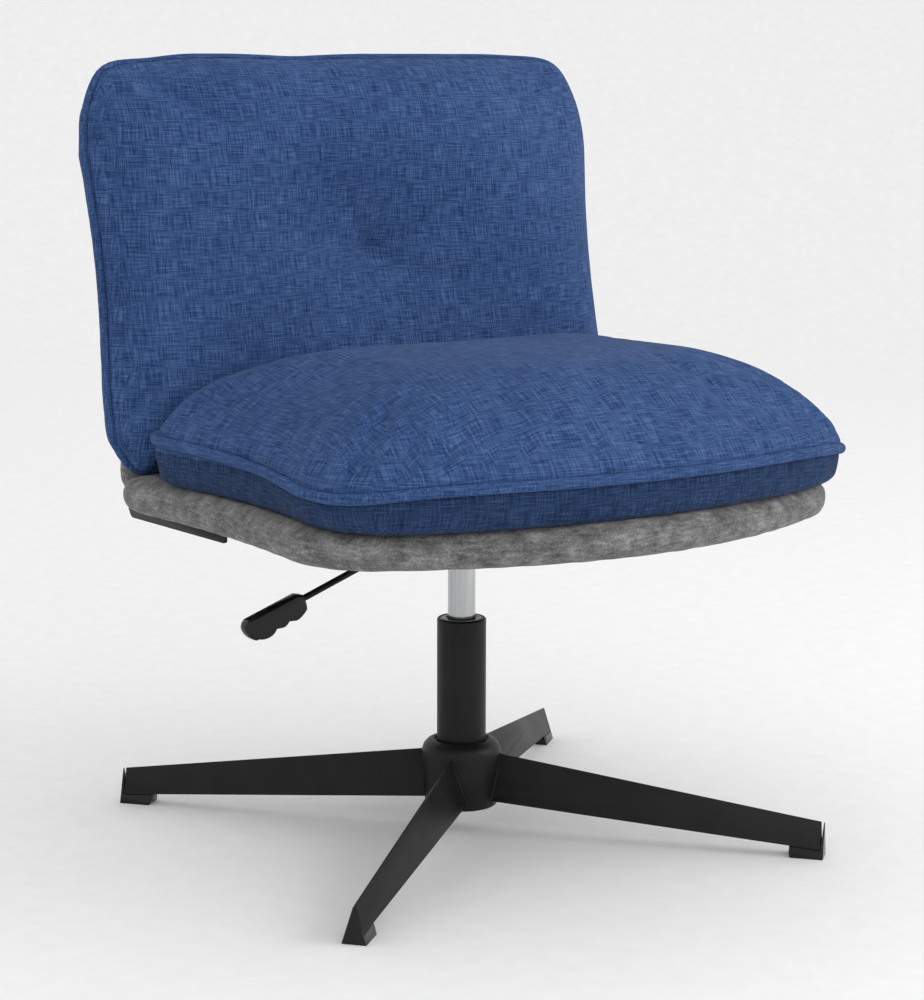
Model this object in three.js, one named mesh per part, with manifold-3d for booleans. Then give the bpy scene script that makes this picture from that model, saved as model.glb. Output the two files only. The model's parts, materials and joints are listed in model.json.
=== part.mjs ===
// Swivel lounge office chair: a padded seat and back on a gas lift and a fixed four-legged star base.
// Millimetres, +Z up, the sitter faces -Y. The origin lies on the floor under the middle of the chair's outline.
import * as THREE from "three";
import { mergeVertices } from "three/addons/utils/BufferGeometryUtils.js";
import Module from "manifold-3d";

const wasm = await Module();
wasm.setup();

// ---------- Driving dimensions ----------
const GAP = 0.3; // clearance between neighbouring pieces
const COLUMN_BACK = 13; // the column stands this far behind the middle of the outline
const BASE_TURN = THREE.MathUtils.degToRad(-4); // how far the star base is turned under the seat

const HUB = { bottom: 27, top: 95.5, shoulder: 84, footR: 37, shoulderR: 40.5 };
const TUBE = { r: 25, wall: 2.2, bottom: 30, floor: 3, top: 221.2 };
const LEG = { reach: 372, hubZ: 35, hubRidge: 82, endZ: 9, endRidge: 35.6, slope: 0.33, wall: 2 };
const FOOT = { length: 34, plate: 3 };
const ROD = { r: 5, bottom: 23, top: 186 };
const CYLINDER = { r: 14, bore: 12.4, bottom: 104, cone: 288, top: 309 };
const PISTON = { bottom: 168, height: 12 };

const BOARD_RIM = 34; // how far the boards stop inside the padded edge
const PLATFORM = { halfWidth: 302, front: 322.5, back: 196, bow: 72, pinch: 9, rearR: 62 };
const PLATFORM_BOTTOM = 334.7;
const PLATFORM_THICK = 33;
const CUSHION = { halfWidth: 300, front: 320, back: 127, bow: 46, pinch: 13, rearR: 44 };
const CUSHION_BOTTOM = 368.3;
const CUSHION_CROWN = 500;
const BACK = { recline: THREE.MathUtils.degToRad(9), y: 165.7, z: 368 };
const BACK_CUSHION = { halfWidth: 306, bottom: 6, top: 418, rear: -36.4, crown: 56, lowR: 58 };
const SHELL = { halfWidth: 272, bottom: -22, top: 408, rear: -66, thick: 29, lowR: 26 };

const STEEL_TOP = 333.3; // top of every steel part that is bolted under the seat
const PLATE = { x: 190, y: 240, thick: 3, holesX: 152.4, holesY: 203.2 };
const HOUSING = { x: 92, y: 70, bottom: 293, wall: 2.5 };
const PIVOT = { x: -24, z: 321 }; // the lever turns about a pin here
const LEVER = { rodR: 3.2, droop: THREE.MathUtils.degToRad(20), handleAt: 195, sleeve: 22 };
const BRACKET_STEEL = 3;
const BRACKET = { x: 220, width: 60, front: 40, top: 190, frontDepth: 17, heelDepth: 20, topDepth: 12 };
const BOLT = { r: 3, hole: 3.4 };
const SEAT_SCREWS_Y = [74, 136];
const BACK_SCREWS_V = [52, 150];
const TUFT_Z = 585; // height of the tuft in the back cushion
const BUSHING_BOTTOM = 150;
const COLLAR = { r: 8, bottom: 41.2, top: 45 }; // the rod's shoulder that rides on the upper thrust washer

// ---------- Finishes ----------
const finish = (color, roughness, metalness) =>
  new THREE.MeshStandardMaterial({ color, roughness, metalness });
const BLUE_FABRIC = finish(0x3f5b92, 0.95, 0);
const GREY_FABRIC = finish(0x76766f, 0.95, 0);
const BLACK_COAT = finish(0x232323, 0.5, 0.3);
const BLACK_PLASTIC = finish(0x1a1a1a, 0.4, 0);
const CHROME = finish(0xc8c8c8, 0.18, 1);
const STEEL = finish(0x9a9a98, 0.35, 1);
const PLYWOOD = finish(0xb98f5e, 0.8, 0);
const DARK_CLOTH = finish(0x202020, 0.95, 0);

// ---------- Solid modelling ----------
function solid(geometry) {
  const bare = geometry.clone();
  bare.deleteAttribute("normal");
  bare.deleteAttribute("uv");
  const merged = mergeVertices(bare, 1e-4);
  return new wasm.Manifold(
    new wasm.Mesh({
      numProp: 3,
      vertProperties: merged.attributes.position.array,
      triVerts: new Uint32Array(merged.index.array),
    }),
  );
}

function geometryOf(manifold) {
  const { vertProperties, triVerts } = manifold.getMesh();
  const geometry = new THREE.BufferGeometry();
  geometry.setAttribute("position", new THREE.BufferAttribute(vertProperties, 3));
  geometry.setIndex(new THREE.BufferAttribute(triVerts, 1));
  const flat = geometry.toNonIndexed();
  flat.computeVertexNormals();
  return flat;
}

const join = (...parts) => geometryOf(parts.map(solid).reduce((sum, part) => sum.add(part)));
const cut = (body, ...tools) =>
  geometryOf(tools.map(solid).reduce((rest, tool) => rest.subtract(tool), solid(body)));

// A turned piece about Z. The profile is [radius, height] points, up the outside and down the inside.
function turned(profile, segments = 24) {
  const points = profile.map(([r, z]) => new THREE.Vector2(r, z));
  return new THREE.LatheGeometry(points, segments).rotateX(Math.PI / 2);
}

function washer(inner, outer, bottom, top, segments = 24) {
  return turned(
    [
      [inner, bottom],
      [outer, bottom],
      [outer, top],
      [inner, top],
      [inner, bottom],
    ],
    segments,
  );
}

function peg(r, bottom, top, segments = 16) {
  return turned([[0, bottom], [r, bottom], [r, top], [0, top]], segments);
}

function box(x, y, z0, z1) {
  return new THREE.BoxGeometry(x, y, z1 - z0).translate(0, 0, (z0 + z1) / 2);
}

// A rounded slab between two heights: the bevel rolls its edges over by `edge`.
function slab(shape, bottom, thick, edge, curveSegments = 6) {
  return new THREE.ExtrudeGeometry(shape, {
    depth: thick - 2 * edge,
    bevelEnabled: edge > 0,
    bevelThickness: edge,
    bevelSize: edge,
    bevelOffset: -edge,
    bevelSegments: 3,
    curveSegments,
  }).translate(0, 0, bottom + edge);
}

// A turned profile, [share of the rim, height], stretched out to meet a shape's outline.
function crowned(profile, shape, columns = 48) {
  const centre = new THREE.Vector2(0, 0);
  const rim = shape.getSpacedPoints(columns);
  rim.forEach((p) => centre.add(p));
  centre.divideScalar(rim.length).setX(0);
  const geometry = turned(profile, columns);
  const position = geometry.attributes.position;
  for (let i = 0; i < position.count; i++) {
    const column = Math.floor(i / profile.length);
    const [share, height] = profile[i % profile.length];
    const p = centre.clone().lerp(rim[column % columns], share);
    position.setXYZ(i, p.x, p.y, height);
  }
  return geometry;
}

// ---------- Outlines seen from above, or from the front for the back rest ----------
// A pad's outline from the front centre, anticlockwise: bowed front, hollow sides, rounded corners.
function padShape({ halfWidth, front, back, bow, pinch, rearR: corner }, inset = 0, hollow = 0) {
  const w = halfWidth - inset;
  const f = -front + inset;
  const b = back - inset;
  const frontX = w - 43; // where the bowed front turns into its corner
  const frontY = f + bow;
  const cornerY = frontY + 31;
  const sideY = frontY + 84;
  const rearR = corner - inset / 2;
  const shape = new THREE.Shape();
  shape.moveTo(0, f);
  shape.quadraticCurveTo(frontX / 2, f, frontX, frontY);
  shape.quadraticCurveTo(w, cornerY, w, sideY);
  shape.quadraticCurveTo(w - 2 * pinch, (sideY + b - rearR) / 2, w, b - rearR);
  shape.quadraticCurveTo(w, b, w - rearR, b);
  shape.quadraticCurveTo(0, b - 2 * hollow, rearR - w, b);
  shape.quadraticCurveTo(-w, b, -w, b - rearR);
  shape.quadraticCurveTo(-w + 2 * pinch, (sideY + b - rearR) / 2, -w, sideY);
  shape.quadraticCurveTo(-w, cornerY, -frontX, frontY);
  shape.quadraticCurveTo(-frontX / 2, f, 0, f);
  return shape;
}

// A back panel's outline from the bottom centre, anticlockwise, slightly waisted.
function backShape({ halfWidth, bottom, top, lowR: corner }, inset = 0, waist = 7) {
  const w = halfWidth - inset;
  const b = bottom + inset;
  const t = top - inset;
  const lowR = corner - inset / 2;
  const topR = 98 - inset / 2;
  const mid = (b + t) / 2;
  const shape = new THREE.Shape();
  shape.moveTo(0, b);
  shape.lineTo(w - lowR, b);
  shape.quadraticCurveTo(w, b, w, b + lowR);
  shape.quadraticCurveTo(w - 2 * waist, mid, w, t - topR);
  shape.quadraticCurveTo(w, t, w - topR, t);
  shape.lineTo(topR - w, t);
  shape.quadraticCurveTo(-w, t, -w, t - topR);
  shape.quadraticCurveTo(-w + 2 * waist, mid, -w, b + lowR);
  shape.quadraticCurveTo(-w, b, lowR - w, b);
  shape.lineTo(0, b);
  return shape;
}

function roundedRectangle(x, y, r) {
  const shape = new THREE.Shape();
  shape.moveTo(r - x / 2, -y / 2);
  shape.lineTo(x / 2 - r, -y / 2);
  shape.absarc(x / 2 - r, r - y / 2, r, -Math.PI / 2, 0);
  shape.absarc(x / 2 - r, y / 2 - r, r, 0, Math.PI / 2);
  shape.absarc(r - x / 2, y / 2 - r, r, Math.PI / 2, Math.PI);
  shape.absarc(r - x / 2, r - y / 2, r, Math.PI, Math.PI * 1.5);
  return shape;
}

// ---------- The assembly and how pieces join it ----------
const chair = new THREE.Group();
const column = new THREE.Group();
column.position.y = COLUMN_BACK;
const base = new THREE.Group();
base.rotation.z = BASE_TURN;
const back = new THREE.Group();
back.position.set(0, BACK.y, BACK.z);
back.rotation.x = Math.PI / 2 - BACK.recline;
chair.add(column);
column.add(base, back);

function add(group, name, geometry, material) {
  const mesh = new THREE.Mesh(geometry, material);
  mesh.name = name;
  group.add(mesh);
  return mesh;
}

// ---------- Star base ----------
function hub() {
  return turned(
    [
      [TUBE.r + GAP, HUB.bottom],
      [HUB.footR - 1.5, HUB.bottom],
      [HUB.footR, HUB.bottom + 1.5],
      [HUB.shoulderR, HUB.shoulder],
      [38.6, 89.5],
      [34.6, 93.8],
      [30.5, HUB.top],
      [28.2, HUB.top],
      [27.2, HUB.top - 3],
      [TUBE.r + GAP, HUB.top - 3],
      [TUBE.r + GAP, HUB.bottom],
    ],
    36,
  );
}

// A leg's triangular section at a distance from the column: bottom, ridge and half the width of its foot.
function legSection(distance, inset = 0) {
  const share = (distance - HUB.footR) / (LEG.reach - HUB.footR);
  const bottom = THREE.MathUtils.lerp(LEG.hubZ, LEG.endZ, share) + inset;
  const ridge = THREE.MathUtils.lerp(LEG.hubRidge, LEG.endRidge, share) - inset * 3.2;
  return { bottom, ridge, half: (ridge - bottom) * LEG.slope };
}

// A straight bar along +X whose triangular section changes from one end to the other.
function taperedBar(from, to, inset) {
  const shape = new THREE.Shape();
  shape.moveTo(-1, 0);
  shape.lineTo(1, 0);
  shape.lineTo(0.06, 1); // the folded ridge is a narrow flat, not a knife edge
  shape.lineTo(-0.06, 1);
  shape.closePath();
  const bar = new THREE.ExtrudeGeometry(shape, { depth: 1, bevelEnabled: false });
  const position = bar.attributes.position;
  for (let i = 0; i < position.count; i++) {
    const distance = THREE.MathUtils.lerp(from, to, position.getZ(i));
    const { bottom, ridge, half } = legSection(distance, inset);
    const across = position.getX(i) * half;
    const height = bottom + position.getY(i) * (ridge - bottom);
    position.setXYZ(i, distance, across, height);
  }
  return bar;
}

function leg() {
  const hubClearance = turned(
    [
      [0, HUB.bottom - 1],
      [HUB.footR + GAP, HUB.bottom - 1],
      [HUB.shoulderR + GAP, HUB.shoulder],
      [0, HUB.shoulder + 1],
    ],
    36,
  );
  const end = LEG.reach - FOOT.plate - GAP;
  return cut(taperedBar(30, end, 0), taperedBar(20, LEG.reach, LEG.wall), hubClearance);
}

// The glide fills the triangle under the leg's end and closes its open end with a plate.
function footGlide() {
  const apex = LEG.endRidge;
  const shape = new THREE.Shape();
  shape.moveTo(-apex * LEG.slope, 0);
  shape.lineTo(apex * LEG.slope, 0);
  shape.lineTo(0.6, apex);
  shape.lineTo(-0.6, apex);
  shape.closePath();
  const wedge = new THREE.ExtrudeGeometry(shape, { depth: FOOT.length, bevelEnabled: false })
    .rotateX(Math.PI / 2)
    .rotateZ(Math.PI / 2)
    .translate(LEG.reach - FOOT.length, 0, 0);
  const legRoom = new THREE.BoxGeometry(200, 60, 100)
    .translate(-100, 0, 50 - GAP)
    .rotateY(Math.atan2(LEG.hubZ - LEG.endZ, LEG.reach - HUB.footR))
    .translate(LEG.reach - FOOT.plate, 0, LEG.endZ);
  const heel = new THREE.BoxGeometry(20, 60, 40).rotateY(-0.25).translate(LEG.reach - FOOT.length - 9, 0, 0);
  return cut(wedge, legRoom, heel);
}

// A pressed tube with a floor, three pairs of crimps under its rim and the rod's hole in the floor.
function columnTube() {
  const inner = TUBE.r - TUBE.wall;
  const tube = turned(
    [
      [7, TUBE.bottom],
      [TUBE.r - 1.5, TUBE.bottom],
      [TUBE.r, TUBE.bottom + 1.5],
      [TUBE.r, TUBE.top - 1.4],
      [TUBE.r - 1.4, TUBE.top],
      [inner, TUBE.top],
      [inner, TUBE.bottom + TUBE.floor],
      [7, TUBE.bottom + TUBE.floor],
      [7, TUBE.bottom],
    ],
    32,
  );
  const crimps = [0, 120, 240].flatMap((start) => [start, start + 36]).map((angle) =>
    new THREE.SphereGeometry(3, 8, 4)
      .translate(0, -TUBE.r - 1.7, 206)
      .rotateZ(THREE.MathUtils.degToRad(angle - 64)),
  );
  return cut(tube, ...crimps);
}

function guideBushing() {
  const outer = TUBE.r - TUBE.wall - GAP;
  const inner = CYLINDER.r + 0.35;
  return turned(
    [
      [inner, BUSHING_BOTTOM],
      [outer, BUSHING_BOTTOM],
      [outer, TUBE.top - 1.2],
      [outer - 1.4, TUBE.top - 0.2],
      [inner + 2, TUBE.top - 0.2],
      [inner, TUBE.top - 2.2],
      [inner, BUSHING_BOTTOM],
    ],
    32,
  );
}

function ballCage(bottom) {
  const ring = washer(7.5, 13.5, bottom + 1.2, bottom + 2.8, 24);
  const balls = Array.from({ length: 8 }, (_, i) =>
    new THREE.SphereGeometry(1.9, 6, 4)
      .translate(10.5, 0, bottom + 2)
      .rotateZ((i * Math.PI) / 4),
  );
  return join(ring, ...balls);
}

// ---------- Gas lift ----------
// The rod carries the piston and a thrust collar, and is held under the tube's floor by a clip.
function pistonRod() {
  return turned(
    [
      [0, ROD.bottom],
      [ROD.r - 1, ROD.bottom],
      [ROD.r, ROD.bottom + 1],
      [ROD.r, 27.9],
      [ROD.r - 1, 27.9],
      [ROD.r - 1, 29.7],
      [ROD.r, 29.7],
      [ROD.r, COLLAR.bottom],
      [COLLAR.r, COLLAR.bottom],
      [COLLAR.r, COLLAR.top],
      [ROD.r, COLLAR.top],
      [ROD.r, PISTON.bottom - 4],
      [6.5, PISTON.bottom - 4],
      [6.5, PISTON.bottom - GAP],
      [ROD.r, PISTON.bottom - GAP],
      [ROD.r, PISTON.bottom + PISTON.height + GAP],
      [7, PISTON.bottom + PISTON.height + GAP],
      [6, ROD.top],
      [0, ROD.top],
    ],
    24,
  );
}

// The piston has a groove round it for its seal.
function piston() {
  const r = CYLINDER.bore - 0.3;
  const top = PISTON.bottom + PISTON.height;
  return turned(
    [
      [ROD.r + GAP, PISTON.bottom],
      [r, PISTON.bottom],
      [r, PISTON.bottom + 4],
      [r - 2, PISTON.bottom + 4],
      [r - 2, top - 4],
      [r, top - 4],
      [r, top],
      [ROD.r + GAP, top],
      [ROD.r + GAP, PISTON.bottom],
    ],
    24,
  );
}

function gasCylinder() {
  return turned(
    [
      [CYLINDER.bore, CYLINDER.bottom],
      [CYLINDER.r - 0.8, CYLINDER.bottom],
      [CYLINDER.r, CYLINDER.bottom + 0.8],
      [CYLINDER.r, CYLINDER.cone],
      [CYLINDER.r - 0.8, CYLINDER.top],
      [3.9, CYLINDER.top],
      [3.9, CYLINDER.cone - 4],
      [CYLINDER.bore, CYLINDER.cone - 6],
      [CYLINDER.bore, CYLINDER.bottom],
    ],
    32,
  );
}

function releaseButton() {
  return turned(
    [
      [0, CYLINDER.cone],
      [3.5, CYLINDER.cone],
      [3.5, 316.5],
      [2.5, 317.5],
      [0, 317.5],
    ],
    16,
  );
}

// ---------- Mechanism under the seat ----------
const seatBoltPlaces = [-1, 1].flatMap((sx) =>
  [-1, 1].map((sy) => new THREE.Vector2((sx * PLATE.holesX) / 2, (sy * PLATE.holesY) / 2)),
);
const bracketPlaces = (rows) =>
  [-1, 1].flatMap((side) => rows.map((row) => new THREE.Vector2(side * BRACKET.x, row)));
const seatScrewPlaces = bracketPlaces(SEAT_SCREWS_Y);
const backScrewPlaces = bracketPlaces(BACK_SCREWS_V);
const drills = (places, r, bottom, top) => places.map((p) => peg(r, bottom, top, 16).translate(p.x, p.y, 0));

function seatPlate() {
  const bottom = STEEL_TOP - PLATE.thick;
  const plate = slab(roundedRectangle(PLATE.x, PLATE.y, 18), bottom, PLATE.thick, 0, 6);
  return cut(plate, ...drills(seatBoltPlaces, BOLT.hole, bottom - 1, STEEL_TOP + 1));
}

// An open-topped pan under the plate: the socket passes its floor, the lever and its pin pass its walls.
function housing() {
  const top = STEEL_TOP - PLATE.thick - GAP;
  const wallLine = roundedRectangle(HOUSING.x, HOUSING.y, 10);
  const outside = slab(wallLine, HOUSING.bottom, top - HOUSING.bottom, 0, 5);
  const inside = slab(
    roundedRectangle(HOUSING.x - 2 * HOUSING.wall, HOUSING.y - 2 * HOUSING.wall, 8),
    HOUSING.bottom + HOUSING.wall,
    60,
    0,
    5,
  );
  const leverWindow = box(20, 14, 304, 327).translate(-HOUSING.x / 2, 0, 0);
  const pinHoles = peg(2.8, -60, 60, 16).rotateX(Math.PI / 2).translate(PIVOT.x, 0, PIVOT.z);
  const socketHole = peg(19.6, HOUSING.bottom - 5, HOUSING.bottom + 8, 32);
  return cut(outside, inside, leverWindow, pinHoles, socketHole);
}

function socket() {
  const bore = CYLINDER.r + GAP;
  return turned(
    [
      [bore, 281],
      [18, 281],
      [19.3, 282.5],
      [19.3, 305],
      [18, 307],
      [bore - 0.7, 307],
      [bore, CYLINDER.cone],
      [bore, 281],
    ],
    24,
  );
}

// A hexagon-headed flange bolt that points up, with the underside of its flange at height zero.
function bolt(length) {
  const hexagon = new THREE.CylinderGeometry(5.6, 5.6, 4.6, 6).rotateX(Math.PI / 2).translate(0, 0, -3.5);
  return join(hexagon, peg(7.5, -1.4, 0, 18), peg(BOLT.r, -1, length, 16));
}

function buttonScrew(length) {
  const head = turned([[0, -3.4], [2.6, -3.4], [5, -2.6], [6.2, -1.2], [6.4, 0], [0, 0]], 18);
  const key = new THREE.CylinderGeometry(2.2, 2.2, 3, 6).rotateX(Math.PI / 2).translate(0, 0, -3);
  return cut(join(head, peg(BOLT.r - 0.2, -0.5, length, 16)), key);
}

function teeNut() {
  return turned(
    [
      [BOLT.r + GAP, -13],
      [4.3, -13],
      [4.3, 0],
      [9, 0],
      [9, 1.2],
      [BOLT.r + GAP, 1.2],
      [BOLT.r + GAP, -13],
    ],
    16,
  );
}

// The lever's bent rod, with the barrel that turns on the pivot pin.
function leverRod() {
  const { x, z } = PIVOT;
  const end = new THREE.Vector3(
    x - Math.cos(LEVER.droop) * LEVER.handleAt,
    0,
    z - Math.sin(LEVER.droop) * LEVER.handleAt,
  );
  const knee = new THREE.Vector3(x, 0, z);
  const path = new THREE.CurvePath();
  path.add(new THREE.LineCurve3(new THREE.Vector3(6, 0, z), new THREE.Vector3(x + 9, 0, z)));
  const bendEnd = knee.clone().lerp(end, 9 / LEVER.handleAt);
  path.add(new THREE.QuadraticBezierCurve3(new THREE.Vector3(x + 9, 0, z), knee, bendEnd));
  path.add(new THREE.LineCurve3(bendEnd, end));
  const circle = new THREE.Shape().absarc(0, 0, LEVER.rodR, 0, Math.PI * 2);
  const rod = new THREE.ExtrudeGeometry(circle, { steps: 14, extrudePath: path, curveSegments: 6 });
  const along = (geometry) => geometry.rotateX(Math.PI / 2).translate(x, 0, z);
  return cut(join(rod, along(peg(6, -9, 9, 24))), along(peg(2.8, -12, 12, 20)));
}

function pivotPin() {
  const reach = HOUSING.y / 2 + 2;
  const profile = [[0, -reach - 1.5], [4, -reach - 1.5], [4, -reach], [2.5, -reach], [2.5, reach], [0, reach]];
  return turned(profile, 20)
    .rotateX(Math.PI / 2)
    .translate(PIVOT.x, 0, PIVOT.z);
}

// The handle is a flat paddle, straight along its top and scalloped for the fingers underneath.
// It is drawn with x outwards along the rod and y square to it, then stood on edge.
function leverHandle() {
  const shape = new THREE.Shape();
  shape.moveTo(0, -4);
  shape.lineTo(1, -10);
  shape.quadraticCurveTo(10, -16, 16, -15.4);
  shape.quadraticCurveTo(20, -14, 23.5, -12.4);
  shape.quadraticCurveTo(27, -15.5, 31, -15.3);
  shape.quadraticCurveTo(35, -14.6, 38.5, -13);
  shape.quadraticCurveTo(44, -18.5, 52, -17);
  shape.quadraticCurveTo(58, -16, 60, -13.5);
  shape.lineTo(62, -14);
  shape.quadraticCurveTo(67, -11.5, 69.5, -5);
  shape.quadraticCurveTo(73, 5, 64, 9);
  shape.lineTo(6.5, 8.6);
  shape.lineTo(0, 5);
  shape.closePath();
  const paddle = slab(shape, -6.5, 13, 2.4, 4);
  const rodHole = peg(LEVER.rodR + GAP, -1, 30, 20).rotateY(Math.PI / 2);
  return cut(paddle.rotateX(Math.PI / 2), rodHole)
    .rotateY(LEVER.droop)
    .rotateZ(Math.PI)
    .translate(
      PIVOT.x - Math.cos(LEVER.droop) * (LEVER.handleAt - LEVER.sleeve),
      0,
      PIVOT.z - Math.sin(LEVER.droop) * (LEVER.handleAt - LEVER.sleeve),
    );
}

// ---------- L-brackets ----------
// A bracket's side view: the mounting line runs under the seat and up behind the back. `lift` moves that line
// outwards and `extra` deepens the flanges, so the same outline makes the solid and the channel inside it.
function bracketProfile(lift, extra) {
  const sin = Math.sin(BACK.recline);
  const cos = Math.cos(BACK.recline);
  const rear = (v, w) => new THREE.Vector2(BACK.y + v * sin + w * cos, BACK.z + v * cos - w * sin);
  const line = -SHELL.rear + GAP + lift;
  const topV = BRACKET.top + extra;
  const front = BRACKET.front - extra;
  const under = STEEL_TOP - lift;
  const cornerV = (under - BACK.z + line * sin) / cos;
  const corner = rear(cornerV, line);
  const inTop = rear(topV, line);
  const outTop = rear(topV, line + BRACKET.topDepth + extra);
  const heelRear = rear(16, line + BRACKET.heelDepth + extra);
  const heelZ = STEEL_TOP - BRACKET.heelDepth - extra;
  const shape = new THREE.Shape();
  const lipZ = STEEL_TOP - BRACKET.frontDepth - extra;
  shape.moveTo(front, lipZ + 4);
  shape.quadraticCurveTo(front, lipZ, front + 4, lipZ);
  shape.lineTo(corner.x + 8, heelZ);
  shape.quadraticCurveTo(heelRear.x - 4, heelZ, heelRear.x, heelRear.y);
  shape.lineTo(outTop.x, outTop.y);
  shape.lineTo(inTop.x, inTop.y);
  const bendEnd = rear(cornerV + 9, line);
  shape.lineTo(bendEnd.x, bendEnd.y);
  shape.quadraticCurveTo(corner.x, corner.y, corner.x - 9, under);
  shape.lineTo(front, under);
  shape.closePath();
  return shape;
}

function bracket(side) {
  const across = (shape, width) =>
    new THREE.ExtrudeGeometry(shape, { depth: width, bevelEnabled: false, curveSegments: 8 })
      .rotateX(Math.PI / 2)
      .rotateZ(Math.PI / 2)
      .translate(side * BRACKET.x - width / 2, 0, 0);
  const body = across(bracketProfile(0, 0), BRACKET.width);
  const channel = across(bracketProfile(BRACKET_STEEL, 10), BRACKET.width - 2 * BRACKET_STEEL);
  const seatHoles = drills(seatScrewPlaces, BOLT.hole, STEEL_TOP - 5, STEEL_TOP + 1);
  const backHoles = drills(backScrewPlaces, BOLT.hole, SHELL.rear - 6, SHELL.rear + 1).map((hole) =>
    hole.rotateX(back.rotation.x).translate(0, BACK.y, BACK.z),
  );
  return cut(body, channel, ...seatHoles, ...backHoles);
}

// ---------- Upholstered panels, boards and cushions ----------
const POCKET = 345; // floor of the seat board's pocket
const underSeatPlaces = [...seatBoltPlaces, ...seatScrewPlaces];

function seatPlatform() {
  const panel = slab(padShape(PLATFORM), PLATFORM_BOTTOM, PLATFORM_THICK, 14);
  const pocket = slab(padShape(PLATFORM, BOARD_RIM), POCKET, 40, 0);
  return cut(panel, pocket, ...drills(underSeatPlaces, 5, PLATFORM_BOTTOM - 1, POCKET + 1));
}

function seatBoard() {
  const board = slab(padShape(PLATFORM, BOARD_RIM + 1), POCKET + GAP, 18, 0);
  const boltHoles = drills(seatBoltPlaces, 4.7, POCKET - 1, POCKET + 20);
  const screwHoles = drills(seatScrewPlaces, BOLT.r + 0.1, POCKET - 1, POCKET + 15);
  return cut(board, ...boltHoles, ...screwHoles);
}

function dustCover() {
  const sheet = slab(padShape(PLATFORM, 40), STEEL_TOP + GAP, 0.8, 0);
  return cut(sheet, ...drills(underSeatPlaces, 5, STEEL_TOP - 1, STEEL_TOP + 2));
}

function seatCushion() {
  const profile = [
    [0, CUSHION_BOTTOM],
    [0.94, CUSHION_BOTTOM],
    [0.985, 376],
    [0.99, 394],
    [1, 405],
    [1, 415],
    [0.975, 434],
    [0.925, 457],
    [0.82, 478],
    [0.62, 493],
    [0.3, CUSHION_CROWN - 1],
    [0, CUSHION_CROWN],
  ];
  return crowned(profile, padShape(CUSHION, 0, 18));
}

const BACK_POCKET = SHELL.rear + 10;

function backShell() {
  const panel = slab(backShape(SHELL), SHELL.rear, SHELL.thick, 12);
  const pocket = slab(backShape(SHELL, BOARD_RIM), BACK_POCKET, 40, 0);
  return cut(panel, pocket, ...drills(backScrewPlaces, 4, SHELL.rear - 1, BACK_POCKET + 1));
}

function backBoard() {
  const board = slab(backShape(SHELL, BOARD_RIM + 1), BACK_POCKET + GAP, 12, 0);
  return cut(board, ...drills(backScrewPlaces, BOLT.r + 0.1, BACK_POCKET - 1, BACK_POCKET + 14));
}

function backCushion() {
  const { rear } = BACK_CUSHION;
  const profile = [
    [0, rear],
    [0.92, rear],
    [0.975, rear + 6],
    [0.99, -16],
    [1, -5],
    [1, 5],
    [0.972, 23],
    [0.91, 40],
    [0.77, 52],
    [0.5, BACK_CUSHION.crown],
    [0.2, BACK_CUSHION.crown - 2],
    [0, BACK_CUSHION.crown - 6],
  ];
  return crowned(profile, backShape(BACK_CUSHION));
}

// ---------- Assembly ----------
function buildBase() {
  add(base, "hub", hub(), BLACK_COAT);
  const legGeometry = leg();
  const footGeometry = footGlide();
  ["front_left", "front_right", "rear_right", "rear_left"].forEach((place, i) => {
    const angle = -Math.PI * 0.75 + (i * Math.PI) / 2;
    add(base, "leg_" + place, legGeometry, BLACK_COAT).rotation.z = angle;
    add(base, "foot_" + place, footGeometry, BLACK_PLASTIC).rotation.z = angle;
  });
  add(base, "column_tube", columnTube(), BLACK_COAT);
  add(base, "guide_bushing", guideBushing(), BLACK_PLASTIC);
  add(base, "lower_thrust_washer", washer(ROD.r + 0.4, 15, 33.3, 34.8), STEEL);
  add(base, "thrust_ball_cage", ballCage(35), STEEL);
}

function buildGasLift() {
  add(column, "upper_thrust_washer", washer(ROD.r + GAP, 15, 39.3, 40.8), STEEL);
  add(column, "retaining_clip", washer(ROD.r - 1 + GAP, 8.5, 28.2, 29.4, 24), STEEL);
  add(column, "piston_rod", pistonRod(), STEEL);
  add(column, "piston", piston(), BLACK_PLASTIC);
  const sealZ = PISTON.bottom + 4 + GAP;
  const seal = washer(CYLINDER.bore - 2, CYLINDER.bore - 0.1, sealZ, sealZ + 3.4);
  add(column, "piston_seal", seal, BLACK_PLASTIC);
  add(column, "gas_cylinder", gasCylinder(), CHROME);
  const guide = washer(ROD.r + GAP, CYLINDER.bore - GAP, CYLINDER.bottom + 0.5, CYLINDER.bottom + 12);
  add(column, "rod_guide", guide, BLACK_PLASTIC);
  add(column, "release_button", releaseButton(), BLACK_PLASTIC);
}

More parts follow.
